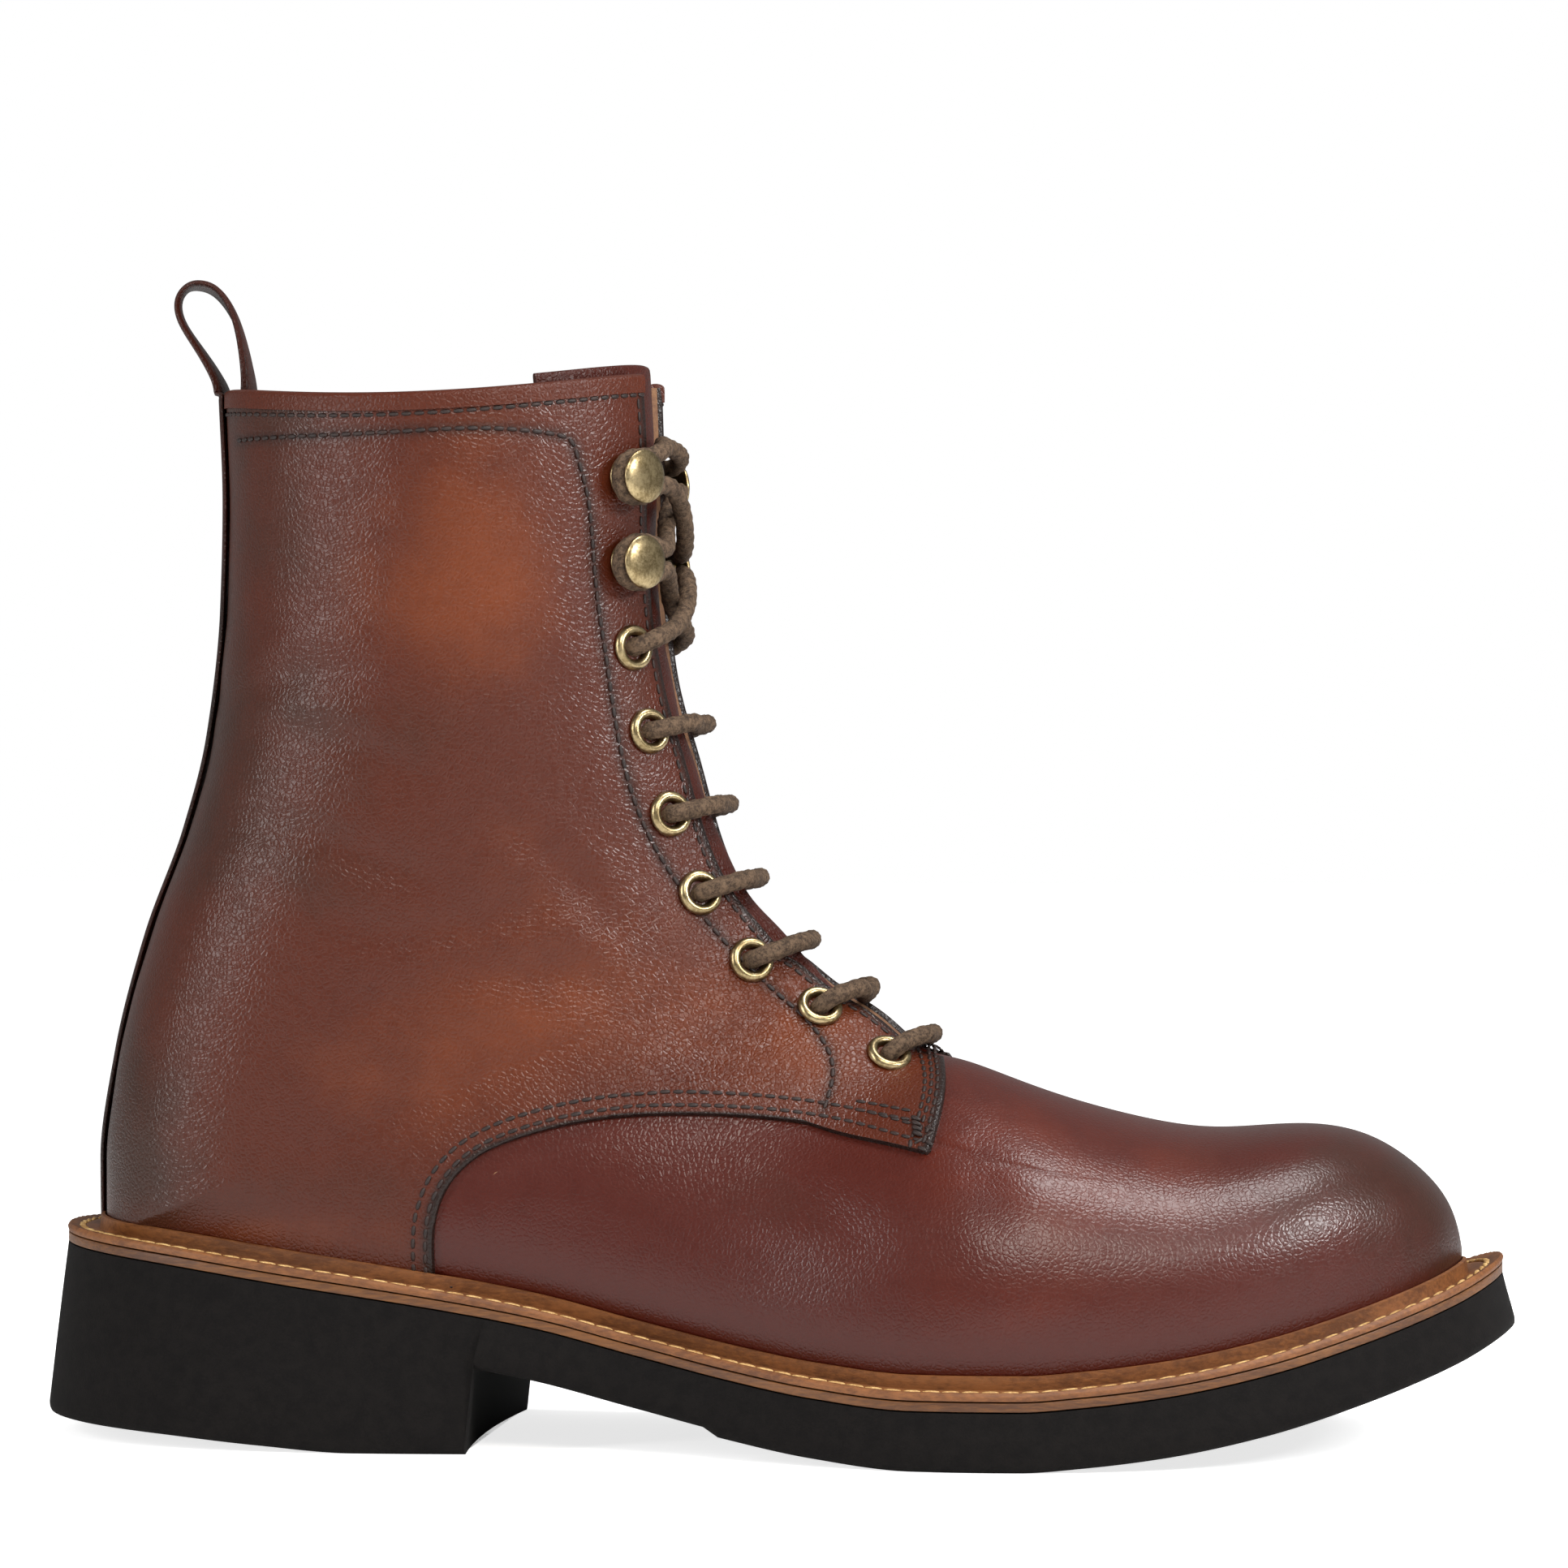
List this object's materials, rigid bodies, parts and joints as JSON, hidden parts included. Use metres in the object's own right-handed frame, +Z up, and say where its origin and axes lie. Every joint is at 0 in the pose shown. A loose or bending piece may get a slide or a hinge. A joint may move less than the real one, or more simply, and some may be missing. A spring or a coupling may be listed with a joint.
{
  "type": "lace-up ankle boot",
  "caption": "Right lace-up leather ankle boot with a welted foam-rubber sole, brass eyelets and speed hooks, and a back pull loop.",
  "frame": {"origin": "on the floor, under the middle of the boot's bounding box", "axes": "+X from heel to toe, +Y to the inner (medial) side, +Z up"},
  "size_m": [0.305, 0.1147, 0.2403],
  "materials": {
    "calf": "hand-burnished smooth brown calf, polished",
    "tongue_calf": "dark brown calf, satin",
    "welt_leather": "tan leather strip, stitched",
    "edge_leather": "stained leather edge",
    "insole_leather": "natural leather, matte",
    "foam_rubber": "matte black foamed rubber",
    "brass": "antique brass, soft polish",
    "lace": "waxed braided cotton"
  },
  "bodies": {
    "root": {"back_strap": "calf", "eyelet_lateral_1": "brass", "eyelet_lateral_2": "brass", "eyelet_lateral_3": "brass", "eyelet_lateral_4": "brass", "eyelet_lateral_5": "brass", "eyelet_lateral_6": "brass", "eyelet_lateral_7": "brass", "eyelet_medial_1": "brass", "eyelet_medial_2": "brass", "eyelet_medial_3": "brass", "eyelet_medial_4": "brass", "eyelet_medial_5": "brass", "eyelet_medial_6": "brass", "eyelet_medial_7": "brass", "hook_lateral_1": "brass", "hook_lateral_2": "brass", "hook_medial_1": "brass", "hook_medial_2": "brass", "insole": "insole_leather", "lace_bar_1": "lace", "lace_bar_2": "lace", "lace_bar_3": "lace", "lace_bar_4": "lace", "lace_bar_5": "lace", "lace_bar_6": "lace", "lace_cross_1": "lace", "lace_cross_2": "lace", "lace_end_lateral": "lace", "lace_end_medial": "lace", "midsole": "edge_leather", "outsole": "foam_rubber", "tongue": "tongue_calf", "upper": "calf", "welt": "welt_leather"}
  },
  "joints": []
}
